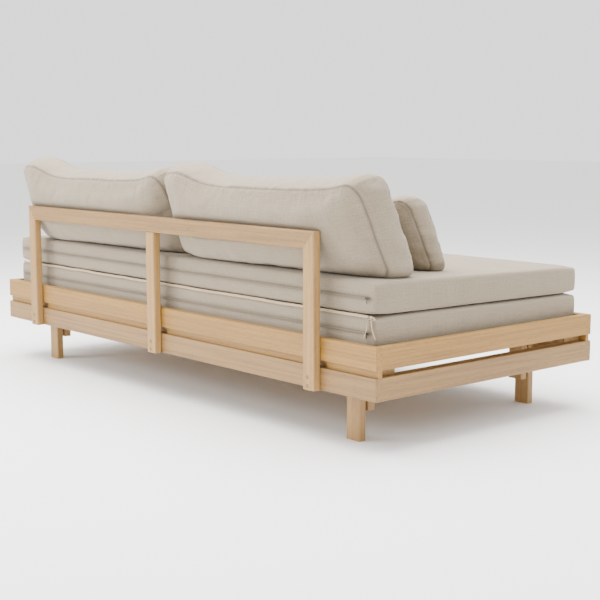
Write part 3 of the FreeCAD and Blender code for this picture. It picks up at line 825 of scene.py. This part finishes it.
def settle(piece, lowX, highX):
    # flattens the cushion where it rests on the mattress, on the rail and on its neighbour
    x, y, z = places(piece).T
    seat = seatTop - mattress["frontDrop"]["upper"][1] * fallShare(y)
    z = np.maximum(z, seat + clear)
    beside = np.maximum(railLow.z - z, z - railHigh.z)
    limit = railLow.y - clear + bulge * np.maximum(beside, 0)
    y = np.minimum(y, limit)
    x = np.clip(x, lowX, highX)
    setPlaces(piece, np.column_stack([x, y, z]))


def makeCushion(name, plan, footY, reach, seed):
    low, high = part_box(f"{name}_cover")
    length = high.x - low.x + plan["puff"]
    piece = gridBox(name, (length, plan["gusset"], plan["panel"]), plan["cell"])
    footZ = seatTop - mattress["frontDrop"]["upper"][1] * float(fallShare(footY)) - plan["footSink"]
    shapeCushion(piece, plan, length, (low.x + high.x) / 2, footY, footZ)
    fillWithAir(piece, plan)
    crumple(piece, plan, seed)
    settle(piece, *reach)
    growGroup(piece, "seam", "seamNear", plan["puckerRings"])
    fillingFrom(piece, f"{name}_stuffing", name, f"{name}_filling", fibreMaterial,
                plan["coreInset"])
    useModifier(piece, "SUBSURF", levels=1, render_levels=1)
    puckerSeams(piece, plan, seed)
    sewIn(piece, "seam", plan["seamDepth"], plan["seamShade"])
    settle(piece, *reach)
    finishSoft(piece, name, f"{name}_cover")


print("mattresses")
for level in ("lower", "upper"):
    makeMattress(level)

print("cushions")
meeting = (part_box("left_back_cushion_cover")[1].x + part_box("right_back_cushion_cover")[0].x) / 2
backFootY = railLow.y - 0.1815    # the back cushions' feet stand this far in front of the rail
smallFootY = 0.056
endLimit = 1.03                   # no cushion reaches farther than this along the bed
makeCushion("left_back_cushion", backCushion, backFootY, (-endLimit, meeting - 2 * clear), 2.0)
makeCushion("right_back_cushion", backCushion, backFootY, (meeting + 2 * clear, endLimit), 6.0)
makeCushion("small_cushion", smallCushion, smallFootY, (-endLimit, 0.0), 11.0)


# cotton tape along the joint, and its knot

tape = {
    "cell": 0.008,
    "sway": 0.0022,       # how far it wanders up and down
    "swaySize": 0.09,
    "fineSway": 0.4,      # a finer wandering, as a share of the first
    "twist": 0.0008,      # how far it stands off the mattress
    "twistSize": 0.05,
    "heldEnd": 0.05,      # it lies straight again towards its ends
}


def makeTape():
    low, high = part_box("tie_tape")
    size = high - low
    deselectAll()
    bpy.ops.mesh.primitive_cube_add(size=1, location=(low + high) / 2, scale=size)
    piece = bpy.context.object
    piece.name = "tie_tape_ribbon"
    applyPlace(piece)
    corners = places(piece)
    selectWhere(piece, "EDGE", lambda edge: np.ptp(corners[list(edge.vertices), 0]) > 0.5)
    bpy.ops.mesh.subdivide(number_cuts=round(size.x / tape["cell"]))
    closeEdit()
    layCloth(piece)
    rows = places(piece)
    along = np.column_stack([rows[:, 0], np.zeros(len(rows)), np.zeros(len(rows))])
    sway = waves(along, tape["swaySize"], 5.0) + tape["fineSway"] * waves(along, tape["swaySize"] / 3, 9.0)
    ends = ease((size.x / 2 - np.abs(rows[:, 0])) / tape["heldEnd"])
    rows[:, 2] += tape["sway"] * sway * ends
    standOff = tape["twist"] * (waves(along, tape["twistSize"], 2.0) + 1)
    rows[:, 1] += standOff * ends * (1 + rows[:, 2] - rows[:, 2].mean())
    setPlaces(piece, rows)
    useModifier(piece, "BEVEL", width=0.0003, segments=1, limit_method="ANGLE")
    dress(piece, tapeMaterial, 40)
    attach(piece, "upper_mattress")
    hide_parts("tie_tape")


bow = {
    "shift": 0.004,             # the knot sits this far towards the bed's end
    "loopRadius": 0.0075,
    "loopTilts": (25, 10),      # degrees, the loop towards the bed's end and the other one
    "loopSpread": 0.95,
    "loopSquash": 0.42,
    "loopDrop": 0.002,
    "width": 0.006,
    "thickness": 0.0009,
    "knotRadius": 0.0052,
    "knotShape": (0.75, 0.6, 1.0),
    "strand": (0.002, 0.0011),  # the strands' slant over the knot
    "strandDepth": 0.0004,
}


def makeBow():
    # the knot with its two small loops
    low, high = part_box("tie_knot")
    middle = (low + high) / 2 - Vector((bow["shift"], 0, 0))
    pieces = []
    for sign, tilt in zip((-1, 1), bow["loopTilts"]):
        deselectAll()
        bpy.ops.mesh.primitive_cylinder_add(vertices=28, radius=bow["loopRadius"], depth=bow["width"],
                                            end_fill_type="NOTHING", rotation=(math.pi / 2, 0, 0))
        loop = bpy.context.object
        applyPlace(loop)
        loop.scale = (1.0, 1.0, bow["loopSquash"])
        loop.rotation_euler = (0, math.radians(sign * tilt), 0)
        loop.location = (middle.x + sign * bow["loopRadius"] * bow["loopSpread"], middle.y,
                         middle.z - bow["loopDrop"])
        applyPlace(loop)
        useModifier(loop, "SOLIDIFY", thickness=bow["thickness"], offset=0)
        useModifier(loop, "BEVEL", width=0.0002, segments=1, limit_method="ANGLE")
        pieces.append(loop)
    deselectAll()
    bpy.ops.mesh.primitive_uv_sphere_add(segments=24, ring_count=16, radius=bow["knotRadius"],
                                         location=middle)
    knot = bpy.context.object
    knot.scale = bow["knotShape"]
    applyPlace(knot)
    rows = places(knot)
    strandX, strandZ = bow["strand"]
    lines = np.sin((rows[:, 2] - middle.z) / strandZ + (rows[:, 0] - middle.x) / strandX)
    setPlaces(knot, rows + vertexNormals(knot) * (bow["strandDepth"] * lines)[:, None])
    pieces.append(knot)
    piece = join(pieces, "tie_knot_bow")
    layCloth(piece)
    dress(piece, tapeMaterial, 40)
    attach(piece, "upper_mattress")
    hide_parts("tie_knot")


print("tape and knot")
makeTape()
makeBow()


# zips: a tape, a coil of small teeth and a slider with its pull

zipper = {
    "pitch": 0.0032,
    "tooth": (0.0018, 0.0012, 0.0030),
    "tapeThickness": 0.0008,
    "tapeWidth": 0.0052,
    "tapeSink": 0.0012,         # the tape's back lies this much deeper than the plain zip's back
    "sliderShare": (0.7, 0.75),    # the slider's body, as shares of its depth and height
    "sliderTaper": 0.6,
    "ring": (0.0028, 0.0007),
    "ringDrop": 0.003,
    "pull": (0.004, 0.0011, 0.009),
    "pullHang": 0.005,
    "pullTaper": 0.55,
    "pullShift": 0.1,           # towards the end where the slider rests, as a share of its length
}


def makeZip(level):
    low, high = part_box(f"{level}_mattress_zip")
    size = high - low
    middle = (low + high) / 2
    deselectAll()
    bandY = low.y + zipper["tapeThickness"] / 2 - zipper["tapeSink"]
    bpy.ops.mesh.primitive_cube_add(size=1, location=(middle.x, bandY, middle.z),
                                    scale=(size.x, zipper["tapeThickness"], zipper["tapeWidth"]))
    band = bpy.context.object
    applyPlace(band)
    useModifier(band, "BEVEL", width=0.0003, segments=1)
    layCloth(band)
    band.name = f"{level}_mattress_zip_tape"
    dress(band, zipTapeMaterial, 40)
    deselectAll()
    toothX, toothY, toothZ = zipper["tooth"]
    bpy.ops.mesh.primitive_cube_add(size=1, location=(low.x + toothX, bandY + toothY / 2, middle.z),
                                    scale=zipper["tooth"])
    coil = bpy.context.object
    applyPlace(coil)
    useModifier(coil, "BEVEL", width=0.0004, segments=1)
    useModifier(coil, "ARRAY", count=int(size.x / zipper["pitch"]), use_relative_offset=False,
                use_constant_offset=True, constant_offset_displace=(zipper["pitch"], 0, 0))
    coil.name = f"{level}_mattress_zip_coil"
    dress(coil, coilMaterial, 40)
    for piece in (band, coil):
        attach(piece, f"{level}_mattress")
    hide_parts(f"{level}_mattress_zip")


def makeSlider(level):
    low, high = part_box(f"{level}_zip_slider")
    size = high - low
    middle = (low + high) / 2
    deselectAll()
    deep, tall = zipper["sliderShare"]
    bpy.ops.mesh.primitive_cube_add(size=1, location=middle, scale=(size.x, size.y * deep, size.z * tall))
    body = bpy.context.object
    applyPlace(body)
    selectWhere(body, "FACE", lambda face: face.normal.x < -0.9)
    bpy.ops.transform.resize(value=(1, 1, zipper["sliderTaper"]))
    closeEdit()
    useModifier(body, "BEVEL", width=0.0008, segments=3)
    deselectAll()
    hangX = middle.x - size.x * zipper["pullShift"]
    bpy.ops.mesh.primitive_torus_add(major_radius=zipper["ring"][0], minor_radius=zipper["ring"][1],
                                     major_segments=24, minor_segments=10, rotation=(math.pi / 2, 0, 0),
                                     location=(hangX, high.y - 0.0008, middle.z - zipper["ringDrop"]))
    ring = bpy.context.object
    applyPlace(ring)
    deselectAll()
    pullDrop = zipper["pullHang"] + zipper["pull"][2] / 2
    bpy.ops.mesh.primitive_cube_add(size=1, location=(hangX, high.y - 0.0006, middle.z - pullDrop),
                                    scale=zipper["pull"])
    pull = bpy.context.object
    applyPlace(pull)
    selectWhere(pull, "FACE", lambda face: face.normal.z > 0.9)
    bpy.ops.transform.resize(value=(zipper["pullTaper"], 1, 1))
    closeEdit()
    useModifier(pull, "BEVEL", width=0.0004, segments=2)
    piece = join([body, ring, pull], f"{level}_zip_slider_pull")
    dress(piece, sliderMaterial, 35)
    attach(piece, f"{level}_zip_slider")
    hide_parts(f"{level}_zip_slider")


print("zips")
for level in ("lower", "upper"):
    makeZip(level)
    makeSlider(level)


# the frame keeps its own shape and takes its finishes

def finishNode(name, material):
    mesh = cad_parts[name].data
    mesh.materials.clear()
    mesh.materials.append(material)


print("frame finishes")
for level in ("lower", "upper"):
    for side in ("front", "rear"):
        finishNode(f"{level}_{side}_board", oakMaterials[(level, "x")])
        for end in ("left", "right"):
            finishNode(f"{level}_{side}_{end}_leg", oakMaterials[("post", "z")])
    for end in ("left", "right"):
        finishNode(f"{level}_{end}_board", oakMaterials[(level, "y")])
for name in ("lower_front_rail", "lower_rear_rail"):
    finishNode(name, oakMaterials[("lower", "x")])
for name in ("left_end_cleat", "right_end_cleat"):
    finishNode(name, oakMaterials[("lower", "y")])
for name in ("front_spacer", "rear_spacers"):
    finishNode(name, oakMaterials[("upper", "x")])
for name in ("left_back_post", "middle_back_post", "right_back_post"):
    finishNode(name, oakMaterials[("post", "z")])
finishNode("back_top_rail", oakMaterials[("rail", "x")])
for name in ("front_bearer", "rear_bearer", "front_slat_rail", "rear_slat_rail"):
    finishNode(name, pineMaterials["x"])
finishNode("slats", pineMaterials["y"])
for name in ("lower_corner_dowels", "upper_corner_dowels", "back_dowels", "bearer_dowels"):
    finishNode(name, beechMaterial)
for name in ("cleat_screws", "lower_leg_screws", "upper_leg_screws", "slat_screws", "back_nuts"):
    finishNode(name, zincMaterial)
finishNode("back_bolts", boltMaterial)
